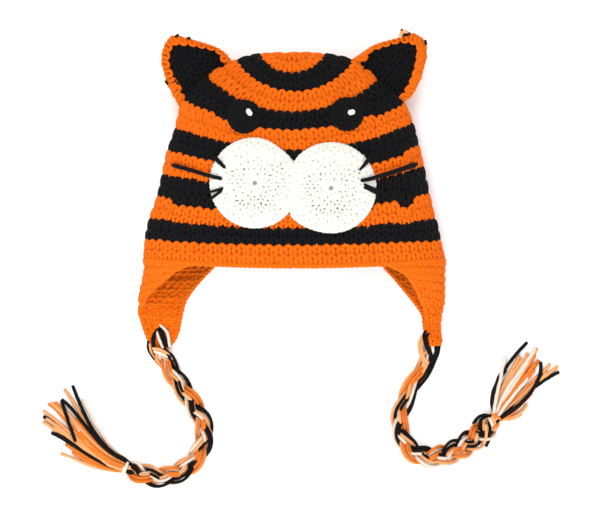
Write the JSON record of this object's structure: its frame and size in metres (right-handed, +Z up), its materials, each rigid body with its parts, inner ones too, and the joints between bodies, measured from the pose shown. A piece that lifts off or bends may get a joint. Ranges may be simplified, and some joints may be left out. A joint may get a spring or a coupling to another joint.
{
  "type": "crocheted animal hat with ear flaps and braided ties",
  "caption": "Striped crocheted toddler's hat lying face up, with ears, eyes, a round two-disc muzzle, whiskers, ear flaps and braided ties that end in tassels.",
  "frame": {"origin": "on the ground, below the middle of the hat without its ties", "axes": "+Z up out of the face, +Y towards the top of the head, +X to the right as one looks down at the face; the head opening looks along -Y"},
  "size_m": [0.3894, 0.3413, 0.0655],
  "materials": {
    "orange_yarn": "matte",
    "black_yarn": "matte",
    "white_yarn": "matte",
    "braid_yarns": "matte"
  },
  "bodies": {
    "root": {"crown": "orange_yarn", "flap_left": "orange_yarn", "flap_right": "orange_yarn", "ear_left": "orange_yarn", "ear_right": "orange_yarn", "ear_inner_left": "black_yarn", "ear_inner_right": "black_yarn", "eye_left": "black_yarn", "eye_right": "black_yarn", "eye_light_left": "white_yarn", "eye_light_right": "white_yarn", "muzzle_left": "white_yarn", "muzzle_right": "white_yarn", "whisker_left_1": "black_yarn", "whisker_left_2": "black_yarn", "whisker_left_3": "black_yarn", "whisker_right_1": "black_yarn", "whisker_right_2": "black_yarn", "whisker_right_3": "black_yarn", "braid_left": "braid_yarns", "braid_right": "braid_yarns", "knot_left": "white_yarn", "knot_right": "white_yarn", "tassel_left": "braid_yarns", "tassel_right": "braid_yarns"}
  },
  "joints": []
}
